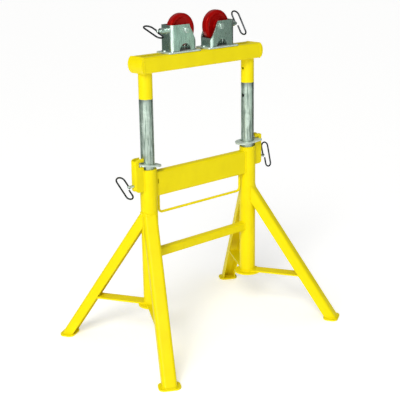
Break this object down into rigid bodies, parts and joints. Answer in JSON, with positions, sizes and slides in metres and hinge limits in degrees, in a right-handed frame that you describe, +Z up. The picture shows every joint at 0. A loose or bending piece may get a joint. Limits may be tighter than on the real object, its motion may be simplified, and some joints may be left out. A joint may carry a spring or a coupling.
{
  "type": "pipe roller support",
  "caption": "Free-standing pipe support: splayed channel legs, telescoping uprights with cam-plate locks, and a slotted beam carrying sliding roller heads.",
  "frame": {"origin": "on the floor, midway between the four feet", "axes": "+X along the beam, +Y to the rear, +Z up"},
  "size_m": [0.8962, 0.6556, 1.1785],
  "materials": {
    "yellow_paint": "gloss",
    "zinc": "satin",
    "red_enamel": "gloss",
    "steel": "satin",
    "ring_wire": "polished",
    "bronze": "satin"
  },
  "bodies": {
    "base": {"left_upright": "yellow_paint", "right_upright": "yellow_paint", "left_base_disc": "yellow_paint", "right_base_disc": "yellow_paint", "left_lock_bracket": "yellow_paint", "right_lock_bracket": "yellow_paint", "left_front_leg": "yellow_paint", "left_rear_leg": "yellow_paint", "right_front_leg": "yellow_paint", "right_rear_leg": "yellow_paint", "left_front_foot": "yellow_paint", "left_rear_foot": "yellow_paint", "right_front_foot": "yellow_paint", "right_rear_foot": "yellow_paint", "left_front_brace": "yellow_paint", "left_rear_brace": "yellow_paint", "right_front_brace": "yellow_paint", "right_rear_brace": "yellow_paint", "upper_rail": "yellow_paint", "lower_rail": "yellow_paint", "carry_rod": "yellow_paint", "left_lock_spring": "steel", "right_lock_spring": "steel"},
    "top_frame": {"left_inner_tube": "zinc", "right_inner_tube": "zinc", "beam": "yellow_paint", "beam_end_caps": "yellow_paint"},
    "left_lock_plate": {"left_lock_plate": "zinc"},
    "left_lock_pull": {"left_lock_pin": "steel", "left_lock_ring": "ring_wire"},
    "left_head": {"left_head_box": "zinc", "left_base_plate": "zinc", "left_clamp_plate": "steel", "left_clamp_bolts": "steel", "left_axle_bolt": "steel", "left_axle_nut": "steel", "left_axle_spacers": "steel", "left_pin_collar": "zinc", "left_head_spring": "steel"},
    "left_roller": {"left_wheel": "red_enamel", "left_wheel_bush": "bronze"},
    "left_brake_pull": {"left_head_pin": "steel", "left_head_ring": "ring_wire"},
    "right_lock_plate": {"right_lock_plate": "zinc"},
    "right_lock_pull": {"right_lock_pin": "steel", "right_lock_ring": "ring_wire"},
    "right_head": {"right_head_box": "zinc", "right_base_plate": "zinc", "right_clamp_plate": "steel", "right_clamp_bolts": "steel", "right_axle_bolt": "steel", "right_axle_nut": "steel", "right_axle_spacers": "steel", "right_pin_collar": "zinc", "right_head_spring": "steel"},
    "right_roller": {"right_wheel": "red_enamel", "right_wheel_bush": "bronze"},
    "right_brake_pull": {"right_head_pin": "steel", "right_head_ring": "ring_wire"}
  },
  "joints": [
    {"name": "height_slide", "type": "slide", "parent": "base", "child": "top_frame", "axis": [0, 0, 1], "range_m": [-0.28, 0.1]},
    {"name": "left_plate_tilt", "type": "hinge", "parent": "base", "child": "left_lock_plate", "pos_m": [-0.285, 0, 0.684], "axis": [0, 1, 0], "range_deg": [-10, 0]},
    {"name": "left_lock_pull", "type": "slide", "parent": "base", "child": "left_lock_pull", "axis": [-1, 0, 0], "range_m": [0, 0.012], "stiffness_N_per_m": 1500, "springref_m": -0.008, "deforming": ["left_lock_spring"]},
    {"name": "left_head_slide", "type": "slide", "parent": "top_frame", "child": "left_head", "axis": [-1, 0, 0], "range_m": [-0.0125, 0.0855]},
    {"name": "left_wheel_spin", "type": "hinge", "parent": "left_head", "child": "left_roller", "pos_m": [-0.0815, 0, 1.1235], "axis": [0, 1, 0], "continuous": true},
    {"name": "left_brake_pull", "type": "slide", "parent": "left_head", "child": "left_brake_pull", "axis": [-1, 0, 0], "range_m": [-0.0052, 0.006], "deforming": ["left_head_spring"]},
    {"name": "right_plate_tilt", "type": "hinge", "parent": "base", "child": "right_lock_plate", "pos_m": [0.285, 0, 0.684], "axis": [0, 1, 0], "range_deg": [-6, 4]},
    {"name": "right_lock_pull", "type": "slide", "parent": "base", "child": "right_lock_pull", "axis": [1, 0, 0], "range_m": [0, 0.012], "stiffness_N_per_m": 1500, "springref_m": -0.008, "deforming": ["right_lock_spring"]},
    {"name": "right_head_slide", "type": "slide", "parent": "top_frame", "child": "right_head", "axis": [1, 0, 0], "range_m": [-0.0125, 0.0855]},
    {"name": "right_wheel_spin", "type": "hinge", "parent": "right_head", "child": "right_roller", "pos_m": [0.0815, 0, 1.1235], "axis": [0, 1, 0], "continuous": true},
    {"name": "right_brake_pull", "type": "slide", "parent": "right_head", "child": "right_brake_pull", "axis": [1, 0, 0], "range_m": [-0.0052, 0.006], "deforming": ["right_head_spring"]}
  ]
}
